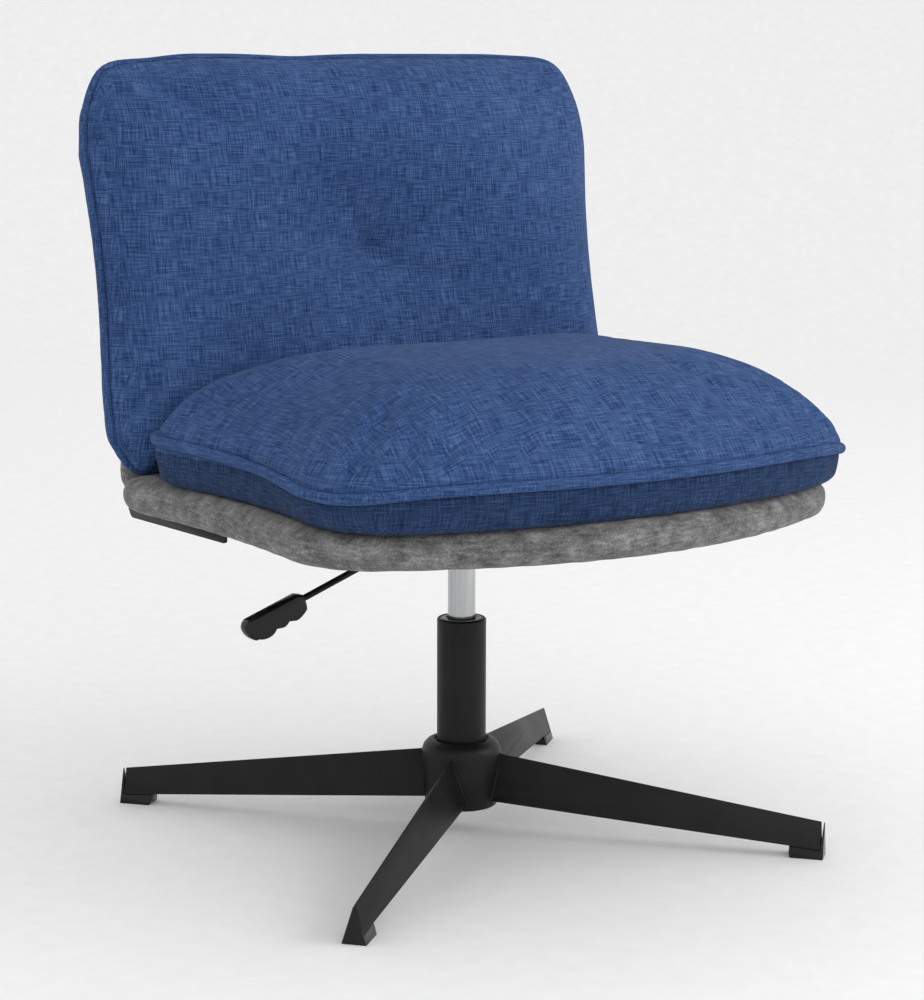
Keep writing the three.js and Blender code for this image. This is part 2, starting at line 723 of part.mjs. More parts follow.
function buildMechanism() {
  add(column, "seat_plate", seatPlate(), BLACK_COAT);
  add(column, "mechanism_housing", housing(), BLACK_COAT);
  add(column, "cylinder_socket", socket(), BLACK_COAT);
  add(column, "lever_rod", leverRod(), BLACK_COAT);
  add(column, "lever_handle", leverHandle(), BLACK_PLASTIC);
  add(column, "lever_pivot_pin", pivotPin(), STEEL);
  const boltGeometry = bolt(27);
  const nutGeometry = teeNut();
  seatBoltPlaces.forEach((p, i) => {
    const seatBolt = add(column, "seat_bolt_" + (i + 1), boltGeometry, STEEL);
    seatBolt.position.set(p.x, p.y, STEEL_TOP - PLATE.thick - GAP);
    add(column, "tee_nut_" + (i + 1), nutGeometry, STEEL).position.set(p.x, p.y, POCKET + 18 + 2 * GAP);
  });
  const screwGeometry = buttonScrew(26);
  seatScrewPlaces.forEach((p, i) => {
    const z = STEEL_TOP - BRACKET_STEEL - GAP;
    add(column, "seat_bracket_screw_" + (i + 1), screwGeometry, STEEL).position.set(p.x, p.y, z);
  });
  backScrewPlaces.forEach((p, i) => {
    const w = SHELL.rear - BRACKET_STEEL - 2 * GAP;
    add(back, "back_bracket_screw_" + (i + 1), screwGeometry, STEEL).position.set(p.x, p.y, w);
  });
  add(column, "left_bracket", bracket(-1), BLACK_COAT);
  add(column, "right_bracket", bracket(1), BLACK_COAT);
}

function buildUpholstery() {
  add(column, "seat_platform", seatPlatform(), GREY_FABRIC);
  add(column, "seat_board", seatBoard(), PLYWOOD);
  add(column, "dust_cover", dustCover(), DARK_CLOTH);
  add(column, "seat_cushion", seatCushion(), BLUE_FABRIC);
  add(back, "back_shell", backShell(), GREY_FABRIC);
  add(back, "back_board", backBoard(), PLYWOOD);
  add(back, "back_cushion", backCushion(), BLUE_FABRIC);
  const anchorRear = BACK_POCKET + GAP + 12 + GAP;
  const tuftV = (TUFT_Z - BACK.z) / Math.cos(BACK.recline);
  const anchor = peg(12, anchorRear, anchorRear + 3, 24).translate(0, tuftV, 0);
  add(back, "tuft_anchor", anchor, BLACK_PLASTIC);
}

buildBase();
buildGasLift();
buildMechanism();
buildUpholstery();

export default chair;
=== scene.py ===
# %% [markdown]
# # A swivel lounge chair, dressed in Blender
# The solids of the chair come ready packed, in metres, with +Z up and the sitter facing -Y. This lesson
# leaves their places alone. It gives the hard parts soft edges and real finishes, and it swaps each
# plain upholstery solid for a piece with the puff, seams and piping of sewn cloth.

# %% Load the chair's solids
import json
import math
import bpy
import numpy as np
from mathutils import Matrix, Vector


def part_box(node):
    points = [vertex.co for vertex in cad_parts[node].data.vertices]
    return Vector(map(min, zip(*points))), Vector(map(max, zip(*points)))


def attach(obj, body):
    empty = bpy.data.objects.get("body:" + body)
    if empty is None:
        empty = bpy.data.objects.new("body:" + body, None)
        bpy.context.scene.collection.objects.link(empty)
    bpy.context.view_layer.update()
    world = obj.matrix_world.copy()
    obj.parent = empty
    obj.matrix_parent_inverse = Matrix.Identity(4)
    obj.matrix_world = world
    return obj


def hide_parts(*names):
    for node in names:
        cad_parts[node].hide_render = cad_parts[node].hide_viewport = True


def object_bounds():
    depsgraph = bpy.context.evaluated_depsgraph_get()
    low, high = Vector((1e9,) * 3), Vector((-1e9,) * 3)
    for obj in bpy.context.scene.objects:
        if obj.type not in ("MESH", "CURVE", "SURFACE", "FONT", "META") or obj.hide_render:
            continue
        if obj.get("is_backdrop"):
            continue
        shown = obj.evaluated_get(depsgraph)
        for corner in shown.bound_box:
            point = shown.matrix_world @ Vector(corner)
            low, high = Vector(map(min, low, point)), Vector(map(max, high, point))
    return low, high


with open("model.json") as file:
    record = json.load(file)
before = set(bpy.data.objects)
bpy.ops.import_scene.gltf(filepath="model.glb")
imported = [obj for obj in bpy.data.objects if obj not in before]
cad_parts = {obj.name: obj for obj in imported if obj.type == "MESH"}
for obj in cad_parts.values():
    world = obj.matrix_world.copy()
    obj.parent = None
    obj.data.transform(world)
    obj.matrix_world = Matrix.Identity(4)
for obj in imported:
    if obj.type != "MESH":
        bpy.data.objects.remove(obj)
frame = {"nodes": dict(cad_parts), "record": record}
scene = bpy.context.scene
MM = 0.001
cad_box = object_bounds()
print("solids:", len(frame["nodes"]), "box:", [round(v, 3) for corner in cad_box for v in corner])

# %% [markdown]
# ## The camera
# A chair looks natural from a little above seat height and a few metres away. A longish lens keeps the
# legs from splaying, and a small sideways shift frames the chair without turning the camera, so upright
# lines stay upright.

# %% Place the camera
CAMERA_PLACE = Vector((-1.4358, -2.1063, 0.7765))
CAMERA_TURN = math.radians(-33.4)
CAMERA_DIP = math.radians(9.64)

camera_data = bpy.data.cameras.new("camera")
camera_data.lens = 92.87
camera_data.shift_x = 0.032
camera = bpy.data.objects.new("camera", camera_data)
camera.location = CAMERA_PLACE
camera.rotation_euler = (math.pi / 2 - CAMERA_DIP, 0, CAMERA_TURN)
scene.collection.objects.link(camera)
scene.camera = camera
print("camera lens", camera_data.lens, "mm")

# %% [markdown]
# ## Floor and light
# Soft goods need soft light. A bright white world does most of the work, so the seat and the back read as
# one colour. A large panel off to the front right is the key: it turns one face of each leg lighter than
# the other. Small lamps would draw hard shadows that hide the weave. The plain Standard view keeps the
# colours as they were mixed, where a filmic one would wash out a saturated cloth.

# %% Make the floor and the lights
def area_light(name, place, aim, size, power):
    data = bpy.data.lights.new(name, "AREA")
    data.size = size
    data.energy = power
    lamp = bpy.data.objects.new(name, data)
    lamp.location = place
    lamp.rotation_euler = (Vector(aim) - Vector(place)).to_track_quat("-Z", "Y").to_euler()
    scene.collection.objects.link(lamp)
    return lamp

world = bpy.data.worlds.new("studio")
world.use_nodes = True
world.node_tree.nodes["Background"].inputs["Color"].default_value = (1, 1, 1, 1)
world.node_tree.nodes["Background"].inputs["Strength"].default_value = 0.93
scene.world = world
scene.view_settings.view_transform = "Standard"

area_light("key", (2.3, -2.2, 1.7), (0, 0, 0.4), 1.8, 34)
area_light("front", (-0.8, -2.8, 1.9), (0, 0, 0.45), 1.6, 9)

# %% [markdown]
# ## A floor without an edge
# A flat floor ends in a line behind the chair. A photographer hides that line with a sweep of paper that
# curves up the wall. This one is turned like a dish, flat in the middle and rising all round, so that it
# works from every side.

# %% Turn the sweep
FLAT_RADIUS, SWEEP_RADIUS = 4.0, 3.0

def sweep_profile(steps=14):
    yield FLAT_RADIUS * 0.5, 0.0
    for i in range(steps + 1):
        angle = 0.5 * math.pi * i / steps
        yield FLAT_RADIUS + SWEEP_RADIUS * math.sin(angle), SWEEP_RADIUS * (1 - math.cos(angle))

def turned_dish(name, profile, spokes=96):
    turns = [2 * math.pi * k / spokes for k in range(spokes)]
    points = [(0, 0, 0)] + [(r * math.cos(a), r * math.sin(a), z) for r, z in profile for a in turns]
    rings = (len(points) - 1) // spokes
    faces = [(0, 1 + k, 1 + (k + 1) % spokes) for k in range(spokes)]
    for i in range(rings - 1):
        inner, outer = 1 + i * spokes, 1 + (i + 1) * spokes
        for k in range(spokes):
            after = (k + 1) % spokes
            faces.append((inner + k, outer + k, outer + after, inner + after))
    mesh = bpy.data.meshes.new(name)
    mesh.from_pydata(points, [], faces)
    mesh.polygons.foreach_set("use_smooth", [True] * len(mesh.polygons))
    dish = bpy.data.objects.new(name, mesh)
    scene.collection.objects.link(dish)
    return dish

floor = turned_dish("floor", sweep_profile())
floor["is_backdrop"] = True
print("floor:", FLAT_RADIUS, "m of flat paper, then a sweep of", SWEEP_RADIUS, "m")

# %% [markdown]
# ## Wiring a material
# A material is a small network of nodes. These helpers keep the wiring short: `node` adds one and sets
# its sockets, and each named helper below stands for one thing a maker would say, such as "fine threads".

# %% Small helpers for material nodes
class Finish:
    def __init__(self, name):
        self.material = bpy.data.materials.new(name)
        self.material.use_nodes = True
        self.tree = self.material.node_tree
        self.shader = self.tree.nodes["Principled BSDF"]

    def node(self, kind, inputs=None, **settings):
        made = self.tree.nodes.new(kind)
        for key, value in settings.items():
            setattr(made, key, value)
        for key, value in (inputs or {}).items():
            self.wire(value, made.inputs[key])
        return made

    def wire(self, value, socket):
        if isinstance(value, bpy.types.NodeSocket):
            self.tree.links.new(value, socket)
        else:
            socket.default_value = value

    def math(self, operation, a, b=0.0):
        return self.node("ShaderNodeMath", {0: a, 1: b}, operation=operation).outputs[0]

    def noise(self, vector, scale, detail=2.0, roughness=0.5):
        inputs = {"Vector": vector, "Scale": scale, "Detail": detail, "Roughness": roughness}
        return self.node("ShaderNodeTexNoise", inputs).outputs["Fac"]

    def stretched(self, vector, amounts):
        return self.node("ShaderNodeVectorMath", {0: vector, 1: amounts}, operation="MULTIPLY").outputs[0]

    def ramp(self, value, *stops):
        made = self.node("ShaderNodeValToRGB", {"Fac": value})
        elements = made.color_ramp.elements
        while len(elements) < len(stops):
            elements.new(0.5)
        for element, (place, colour) in zip(elements, stops):
            element.position = place
            element.color = (*colour, 1)
        return made.outputs["Color"]

    def bump(self, height, distance, strength=1.0):
        inputs = {"Height": height, "Distance": distance, "Strength": strength}
        self.wire(self.node("ShaderNodeBump", inputs).outputs["Normal"], self.shader.inputs["Normal"])

    def place(self):
        return self.node("ShaderNodeTexCoord").outputs["Object"]

    def set(self, **values):
        for key, value in values.items():
            self.wire(value, self.shader.inputs[key.replace("_", " ")])
        return self.material

# %% [markdown]
# ## Laying cloth on a shape without an unwrap
# A weave is flat, but a cushion isn't. Instead of an unwrap, each spot takes the two directions that lie
# most nearly in its surface: across and up on the back rest, across and along on the seat. The choice is
# made from the piece's own normal, so the threads stay put when the chair swivels.

# %% Threads that follow the surface
def cloth_plane(f):
    coords = f.node("ShaderNodeTexCoord")
    place = f.node("ShaderNodeSeparateXYZ", {0: coords.outputs["Object"]}).outputs
    normal = f.node("ShaderNodeSeparateXYZ", {0: coords.outputs["Normal"]}).outputs
    x, y, z = (f.math("ABSOLUTE", n) for n in normal)
    faces_side = f.math("GREATER_THAN", x, f.math("MAXIMUM", y, z))
    faces_up = f.math("GREATER_THAN", z, f.math("MAXIMUM", x, y))
    across = f.node("ShaderNodeMix", {0: faces_side, 2: place[0], 3: place[1]}).outputs[0]
    along = f.node("ShaderNodeMix", {0: faces_up, 2: place[2], 3: place[1]}).outputs[0]
    return f.node("ShaderNodeCombineXYZ", {0: across, 1: along}).outputs[0]

# %% [markdown]
# ## The blue weave
# This upholstery looks like linen: uneven yarns cross at right angles, some thick, some pale. Two long,
# thin noises at right angles make the slubs, a third, broad noise shifts the tone from patch to patch,
# and the same yarns drive the bump so that the light catches what the colour shows. A little sheen gives
# the fuzz of the fibres at the edges.

# %% Make the blue weave
def woven_blue(name="blue_weave", shade=1.0):
    f = Finish(name)
    plane = cloth_plane(f)
    weft = f.noise(f.stretched(plane, (46, 760, 1)), 1.0, 2.0, 0.55)
    warp = f.noise(f.stretched(plane, (760, 46, 1)), 1.0, 2.0, 0.55)
    yarns = f.math("ADD", weft, warp)
    patches = f.noise(f.place(), 9.0, 2.0)
    tone = f.math("ADD", f.math("MULTIPLY", yarns, 0.5), f.math("MULTIPLY", patches, 0.10))
    # A shade below 1 darkens all three yarn colours, which paints shade into the weave.
    dark, middle, pale = (
        tuple(shade * part for part in colour)
        for colour in ((0.014, 0.035, 0.108), (0.032, 0.071, 0.188), (0.072, 0.133, 0.292))
    )
    colour = f.ramp(tone, (0.43, dark), (0.55, middle), (0.68, pale))
    f.bump(yarns, 0.0005, 0.7)
    f.shader.inputs["Sheen Weight"].default_value = 0.03
    f.shader.inputs["Sheen Roughness"].default_value = 0.5
    f.shader.inputs["Specular IOR Level"].default_value = 0.08
    return f.set(Base_Color=colour, Roughness=0.9)

# %% [markdown]
# ## The grey suede
# The panels under the cushions wear a brushed, suede-like cloth. It has no threads to see, only a nap
# that lies lighter and darker where hands have stroked it, so it gets soft streaks and fine grain.

# %% Make the grey suede
def brushed_grey():
    f = Finish("grey_suede")
    plane = cloth_plane(f)
    nap = f.noise(f.stretched(plane, (70, 320, 1)), 1.0, 3.0, 0.6)
    grain = f.noise(f.place(), 520.0, 3.0, 0.7)
    clouds = f.noise(f.place(), 60.0, 3.0)
    pile = f.math("MULTIPLY", f.math("ADD", grain, clouds), 0.35)
    tone = f.math("ADD", f.math("MULTIPLY", nap, 0.3), pile)
    grey_dark, grey_middle, grey_pale = ((v, v, 0.985 * v) for v in (0.060, 0.148, 0.290))
    colour = f.ramp(tone, (0.38, grey_dark), (0.5, grey_middle), (0.62, grey_pale))
    f.bump(f.math("ADD", grain, nap), 0.0004, 0.6)
    f.shader.inputs["Sheen Weight"].default_value = 0.12
    f.shader.inputs["Specular IOR Level"].default_value = 0.2
    return f.set(Base_Color=colour, Roughness=0.95)

# %% [markdown]
# ## Hard finishes
# Powder coat is paint baked from dust, so it has a fine orange-peel texture. Moulded plastic is smoother
# and glossier. The gas cylinder is chromed and wiped along its length by its guide, and the fixings are
# zinc plated, which dries in pale clouds.

# %% Make the coat, plastic, chrome, zinc, wood, backing cloth and rubber
def powder_coat():
    f = Finish("black_powder_coat")
    peel = f.noise(f.place(), 650.0, 2.0)
    wear = f.noise(f.place(), 30.0, 4.0)
    colour = f.ramp(wear, (0.35, (0.006, 0.006, 0.0062)), (0.7, (0.011, 0.011, 0.0114)))
    f.bump(peel, 0.0002, 0.35)
    f.shader.inputs["Specular IOR Level"].default_value = 0.22
    return f.set(Base_Color=colour, Roughness=f.math("ADD", f.math("MULTIPLY", wear, 0.2), 0.36))

def moulded_plastic():
    f = Finish("black_plastic")
    grain = f.noise(f.place(), 1400.0, 2.0)
    haze = f.noise(f.place(), 60.0, 3.0)
    colour = f.ramp(haze, (0.3, (0.004, 0.004, 0.004)), (0.7, (0.008, 0.008, 0.008)))
    f.bump(grain, 0.0001, 0.3)
    f.shader.inputs["Specular IOR Level"].default_value = 0.3
    return f.set(Base_Color=colour, Roughness=f.math("ADD", f.math("MULTIPLY", haze, 0.2), 0.14))

def wiped_chrome():
    f = Finish("satin_chrome")
    rubs = f.noise(f.stretched(f.place(), (260, 260, 9)), 1.0, 2.0)
    colour = f.ramp(rubs, (0.3, (0.36, 0.37, 0.38)), (0.7, (0.46, 0.47, 0.48)))
    f.bump(rubs, 0.00002, 0.15)
    roughness = f.math("ADD", f.math("MULTIPLY", rubs, 0.1), 0.1)
    return f.set(Base_Color=colour, Metallic=1.0, Roughness=roughness)

def zinc_plate():
    f = Finish("zinc_steel")
    clouds = f.noise(f.place(), 220.0, 4.0)
    colour = f.ramp(clouds, (0.3, (0.36, 0.36, 0.34)), (0.7, (0.52, 0.52, 0.49)))
    f.bump(clouds, 0.0001, 0.3)
    roughness = f.math("ADD", f.math("MULTIPLY", clouds, 0.3), 0.2)
    return f.set(Base_Color=colour, Metallic=1.0, Roughness=roughness)

def birch_ply():
    f = Finish("plywood")
    figure = f.noise(f.stretched(f.place(), (12, 160, 400)), 1.0, 4.0, 0.6)
    colour = f.ramp(figure, (0.3, (0.34, 0.20, 0.09)), (0.7, (0.55, 0.37, 0.20)))
    f.bump(figure, 0.0003, 0.4)
    return f.set(Base_Color=colour, Roughness=0.75)

def backing_cloth():
    f = Finish("dust_cloth")
    felt = f.noise(f.place(), 700.0, 4.0, 0.7)
    colour = f.ramp(felt, (0.3, (0.010, 0.010, 0.010)), (0.7, (0.030, 0.030, 0.031)))
    f.bump(felt, 0.0003, 0.6)
    return f.set(Base_Color=colour, Roughness=0.95)

def seal_rubber():
    f = Finish("seal_rubber")
    bloom = f.noise(f.place(), 300.0, 3.0)
    colour = f.ramp(bloom, (0.3, (0.010, 0.010, 0.010)), (0.7, (0.022, 0.022, 0.022)))
    f.bump(bloom, 0.0001, 0.4)
    return f.set(Base_Color=colour, Roughness=0.7)

FINISHES = {
    "blue_weave": woven_blue(),
    # A darker copy of the weave: painted shade for the band under the seat piping.
    "blue_weave_painted_shade": woven_blue("blue_weave_painted_shade", shade=0.5),
    "grey_suede": brushed_grey(),
    "black_powder_coat": powder_coat(),
    "black_plastic": moulded_plastic(),
    "satin_chrome": wiped_chrome(),
    "zinc_steel": zinc_plate(),
    "plywood": birch_ply(),
    "dust_cloth": backing_cloth(),
    "seal_rubber": seal_rubber(),
}
print("finishes:", sorted(FINISHES))

# %% [markdown]
# ## Paper for the floor
# The sweep is matt white paper. A little unevenness in its tone keeps it from looking like empty space.

# %% Paint the floor
def pale_floor():
    f = Finish("floor")
    speckle = f.noise(f.place(), 40.0, 2.0)
    colour = f.ramp(speckle, (0.3, (0.90, 0.90, 0.90)), (0.7, (0.93, 0.93, 0.93)))
    return f.set(Base_Color=colour, Roughness=0.9)

floor.data.materials.append(pale_floor())
print("floor finish:", floor.data.materials[0].name)

# %% [markdown]
# ## Hard parts with softened edges
# No real edge is perfectly sharp, and a bare computed edge catches no light. A narrow bevel on each hard
# part gives the thin bright line that makes metal and plastic read as solid. Bevels are modifiers, so the
# solids underneath keep their exact shape.

# %% Dress the solids
slot_of = {part["node"]: part["material_slot"] for part in frame["record"]["subparts"]}
EDGE = {"black_powder_coat": 0.8, "black_plastic": 0.6, "satin_chrome": 0.3}

def dress(node, piece):
    piece.data.materials.clear()
    piece.data.materials.append(FINISHES[slot_of[node]])
    piece.data.polygons.foreach_set("use_smooth", [True] * len(piece.data.polygons))
    weld = piece.modifiers.new("weld", "WELD")
    weld.merge_threshold = 0.02 * MM
    bevel = piece.modifiers.new("soft_edge", "BEVEL")
    bevel.width = EDGE.get(slot_of[node], 0.25) * MM
    bevel.segments = 2
    bevel.limit_method = "ANGLE"
    bevel.angle_limit = math.radians(32)
    bevel.harden_normals = True

for node, piece in frame["nodes"].items():
    dress(node, piece)
print("dressed", len(frame["nodes"]), "solids")

# %% [markdown]
# ## From a plain solid to an even skin
# Cloth can only be simulated on an even mesh. A voxel remesh wraps the solid in small squares of one
# size, and a few rounds of smoothing take out the facets. `settle` turns modifiers into plain mesh, which
# is what later steps move by hand.

# %% Copy, remesh and smooth a solid
def settle(piece):
    bpy.context.view_layer.update()
    graph = bpy.context.evaluated_depsgraph_get()
    piece.data = bpy.data.meshes.new_from_object(piece.evaluated_get(graph))
    piece.modifiers.clear()

def points_of(piece):
    flat = np.empty(len(piece.data.vertices) * 3, np.float32)
    piece.data.vertices.foreach_get("co", flat)
    return flat.reshape(-1, 3).astype(float)

def normals_of(piece):
    flat = np.empty(len(piece.data.vertices) * 3, np.float32)
    piece.data.vertices.foreach_get("normal", flat)
    return flat.reshape(-1, 3).astype(float)

def move_points(piece, points):
    piece.data.vertices.foreach_set("co", points.astype(np.float32).ravel())
    piece.data.update()

def even_skin(node, name, voxel_mm, smoothing=6):
    piece = bpy.data.objects.new(name, frame["nodes"][node].data.copy())
    scene.collection.objects.link(piece)
    weld = piece.modifiers.new("weld", "WELD")
    weld.merge_threshold = 0.02 * MM
    remesh = piece.modifiers.new("remesh", "REMESH")
    remesh.mode = "VOXEL"
    remesh.voxel_size = voxel_mm * MM
    settle(piece)
    smooth = piece.modifiers.new("smooth", "SMOOTH")
    smooth.factor = 0.5
    smooth.iterations = smoothing
    settle(piece)
    print(name, "has", len(piece.data.vertices), "points")
    return piece

# %% [markdown]
# ## Finding the seam
# The piping runs round each cushion at its widest line. The solid already has that line, so it is read
# from the solid's own points: keep those in a thin band, and sort them by their angle round the middle.

# %% Read a seam line and round it out
def seam_line(points, height, low, high, samples=288):
    band = points[(height > low) & (height < high)]
    flat = band[:, :2] - (band[:, :2].max(0) + band[:, :2].min(0)) / 2
    turn = np.arctan2(flat[:, 1], flat[:, 0])
    order = np.argsort(turn)
    turn, band = turn[order], band[order]
    first = np.r_[True, np.diff(turn) > 1e-3]
    turn, band = turn[first], band[first]
    want = np.linspace(-math.pi, math.pi, samples, endpoint=False)
    line = np.stack([np.interp(want, turn, band[:, k], period=2 * math.pi) for k in range(3)], 1)
    for _ in range(6):
        line = (np.roll(line, 1, 0) + 2 * line + np.roll(line, -1, 0)) / 4
    return line

# %% [markdown]
# ## Swelling a cushion
# Pressure inside a cloth skin is how a real cushion gets its shape: the filling pushes out, the seams hold
# it in. The seam and the face that rests on the panel are pinned, gravity is off, and no point may travel
# further than a set cap, so that the piece stays in its place.

# %% Simulate the filling
def swell(piece, pinned, cap_mm, pressure=4.0):
    before = points_of(piece)
    group = piece.vertex_groups.new(name="held")
    group.add([int(i) for i in np.flatnonzero(pinned)], 1.0, "REPLACE")
    cloth = piece.modifiers.new("filling", "CLOTH")
    cloth.settings.quality = 5
    cloth.settings.mass = 0.3
    cloth.settings.vertex_group_mass = group.name
    cloth.settings.use_pressure = True
    cloth.settings.uniform_pressure_force = pressure
    cloth.settings.effector_weights.gravity = 0
    cloth.collision_settings.use_collision = False
    for step in range(1, 21):
        scene.frame_set(step)
    settle(piece)
    scene.frame_set(1)
    travel = points_of(piece) - before
    length = np.linalg.norm(travel, axis=1, keepdims=True)
    move_points(piece, before + travel * np.minimum(1, cap_mm * MM / np.maximum(length, 1e-9)))
    print(piece.name, "swelled by up to", round(float(length.max()) / MM, 1), "mm, capped at", cap_mm)

def finer(piece):
    piece.modifiers.new("finer", "SUBSURF").levels = 1
    settle(piece)

def cover(piece, slot, body="seat"):
    piece.data.materials.clear()
    piece.data.materials.append(FINISHES[slot])
    piece.data.polygons.foreach_set("use_smooth", [True] * len(piece.data.polygons))
    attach(piece, body)

# %% [markdown]
# ## Piping
# Piping is a cord wrapped in a strip of the same cloth and caught in the seam. It is swept here from a
# ring of small circles, so its radius can breathe a little along its length as a hand-sewn one does.

# %% Sweep a closed piping tube
def piping(name, line, axis, radius_mm, seed, sides=12):
    random = np.random.default_rng(seed)
    along = np.roll(line, -1, 0) - np.roll(line, 1, 0)
    along /= np.linalg.norm(along, axis=1, keepdims=True)
    out = np.cross(along, axis)
    out /= np.linalg.norm(out, axis=1, keepdims=True)
    up = np.cross(out, along)
    breathing = random.normal(0, 1, len(line))
    for _ in range(4):
        breathing = (np.roll(breathing, 1) + breathing + np.roll(breathing, -1)) / 3
    radius = radius_mm * MM * (1 + 0.05 * breathing)
    turn = np.linspace(0, 2 * math.pi, sides, endpoint=False)
    ring = out[:, None] * np.cos(turn)[None, :, None] + up[:, None] * np.sin(turn)[None, :, None]
    points = (line[:, None] + radius[:, None, None] * ring).reshape(-1, 3)
    n = len(line)
    faces = []
    for i in range(n):
        here, ahead = i * sides, (i + 1) % n * sides
        for j in range(sides):
            after = (j + 1) % sides
            faces.append((here + j, ahead + j, ahead + after, here + after))
    mesh = bpy.data.meshes.new(name)
    mesh.from_pydata(points.tolist(), [], faces)
    piece = bpy.data.objects.new(name, mesh)
    scene.collection.objects.link(piece)
    cover(piece, "blue_weave")
    print(name, "is", round(float(np.linalg.norm(line - np.roll(line, 1, 0), axis=1).sum()), 2), "m long")
    return piece

def distance_to(points, line):
    nearest = np.full(len(points), 1e9)
    station = np.zeros(len(points))
    for i, p in enumerate(line):
        d = np.linalg.norm(points - p, axis=1)
        closer = d < nearest
        nearest[closer] = d[closer]
        station[closer] = i / len(line)
    return nearest, station

def puckers(piece, line, seed, height_mm=0.7, reach_mm=16):
    random = np.random.default_rng(seed)
    points, normals = points_of(piece), normals_of(piece)
    away, station = distance_to(points, line)
    wave = sum(
        np.sin(2 * math.pi * (count * station + random.random())) * random.uniform(0.5, 1)
        for count in (61, 83, 107, 139)
    ) / 3
    pull = np.exp(-((away / (6 * MM)) ** 2)) * 2.2
    ripple = wave * height_mm * np.exp(-away / (reach_mm * MM))
    move_points(piece, points + normals * ((ripple - pull) * MM)[:, None])

# %% [markdown]
# ## The seat cushion
# A deep, soft cushion: a tall crown above the piping and a shallow tuck below it. Its sides pull in
# between the corners because the seam there has nothing to stand against. The band below the piping is
# painted shade: its faces get a second material, a darker copy of the same weave, for the shadow under the
# piping.

# %% Make the seat cushion
seat_solid = np.array([v.co for v in frame["nodes"]["seat_cushion"].data.vertices])
seat_low, seat_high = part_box("seat_cushion")
SEAM_BAND = 6 * MM
HELD_BY_SEAM = 9 * MM
seat_seam_height = seat_low.z + 41.7 * MM
seat_line = seam_line(
    seat_solid, seat_solid[:, 2], seat_seam_height - SEAM_BAND, seat_seam_height + SEAM_BAND
)

def seam_rise(line):
    """The seam sags at the two front corners and climbs a little towards the back."""
    beside = (np.abs(line[:, 0]) - 296 * MM) / (60 * MM)
    ahead = (line[:, 1] - seat_low.y - 95 * MM) / (80 * MM)
    climb = np.clip((line[:, 1] - seat_low.y - 190 * MM) / (240 * MM), 0, 1)
    return (6 * climb - 8 * np.exp(-(beside**2 + ahead**2))) * MM

seat_line[:, 2] = seat_seam_height + seam_rise(seat_line)

seat_cushion = even_skin("seat_cushion", "seat_cushion_soft", 6)
seat_points = points_of(seat_cushion)
above = np.clip(seat_points[:, 2] - seat_seam_height, 0, None)
seat_points[:, 2] -= above * 0.06
move_points(seat_cushion, seat_points)
near_seam, _ = distance_to(seat_points, seat_line)
swell(seat_cushion, (seat_points[:, 2] < seat_low.z + 5 * MM) | (near_seam < HELD_BY_SEAM), 12)
finer(seat_cushion)
puckers(seat_cushion, seat_line, seed=3)
cover(seat_cushion, "blue_weave")
# The faces below the seam take the darker weave: painted shade for the shadow under the piping.
seat_cushion.data.materials.append(FINISHES["blue_weave_painted_shade"])
for face in seat_cushion.data.polygons:
    face.material_index = int(face.center.z < seat_seam_height - 5 * MM)
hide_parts("seat_cushion")
piping("seat_piping", seat_line, Vector((0, 0, 1)), 5.2, seed=5)

# %% [markdown]
# ## The back cushion
# The back cushion leans with its shell, so its seam is found in a leaning frame of its own: across, up the
# back, and forward. One deep tuft pulls the middle in, with folds running out of it where the cloth has
# more length than room.

# %% Make the back cushion
LEAN = math.radians(9)
back_up = np.array((0, math.sin(LEAN), math.cos(LEAN)))
back_out = np.array((0, -math.cos(LEAN), math.sin(LEAN)))
back_solid = np.array([v.co for v in frame["nodes"]["back_cushion"].data.vertices])
BACK_ORIGIN = np.array((0, 178.7 * MM, 368 * MM))

def to_back(points):
    q = points - BACK_ORIGIN
    return np.stack([q[:, 0], q @ back_up, q @ back_out], 1)

def from_back(local):
    across = np.array((1, 0, 0))
    return BACK_ORIGIN + local[:, :1] * across + local[:, 1:2] * back_up + local[:, 2:] * back_out

back_local = to_back(back_solid)
back_line_local = seam_line(back_local, back_local[:, 2], -SEAM_BAND, SEAM_BAND)
back_line_local[:, 2] = 0

def top_wave(local):
    """The top edge dips where the filling is thin, and its corners are stuffed out square."""
    share = np.clip((local[:, 1] - 300 * MM) / (120 * MM), 0, 1)
    dips = 3.0 * np.exp(-(((local[:, 0] + 240 * MM) / (38 * MM)) ** 2))
    dips += 2.5 * np.exp(-(((local[:, 0] + 55 * MM) / (45 * MM)) ** 2))
    corner = np.exp(-(((np.abs(local[:, 0]) - 272 * MM) / (30 * MM)) ** 2)) * share
    moved = local.copy()
    moved[:, 0] += np.sign(local[:, 0]) * 7 * corner * MM
    moved[:, 1] += (9 * corner - dips * share) * MM
    return moved

def lower_corners(local):
    """Beyond the seat panel's rounded corners nothing holds the cushion up, so it sags past the edge."""
    share = np.clip((np.abs(local[:, 0]) - 240 * MM) / (50 * MM), 0, 1)
    low = np.clip(1 - local[:, 1] / (110 * MM), 0, 1)
    moved = local.copy()
    moved[:, 1] -= 14 * MM * share * share * (3 - 2 * share) * low
    return moved

TUFT_UP = 214 * MM

def tuft(local, seed):
    random = np.random.default_rng(seed)
    across, up = local[:, 0], local[:, 1] - TUFT_UP
    away = np.hypot(across, up)
    turn = np.arctan2(up, across)
    front = np.clip(local[:, 2] / (30 * MM), 0, 1)
    dent = 16 * np.exp(-((away / (70 * MM)) ** 2)) + 15 * np.exp(-((away / (17 * MM)) ** 2))
    folds = sum(
        np.cos(count * turn + random.uniform(0, 6.28)) * random.uniform(0.6, 1) for count in (3, 5, 7, 9)
    ) / 2
    folds *= 3.4 * (away / (40 * MM)) * np.exp(-((away / (75 * MM)) ** 1.6))
    moved = local.copy()
    moved[:, 2] += front * (folds - dent) * MM
    return moved

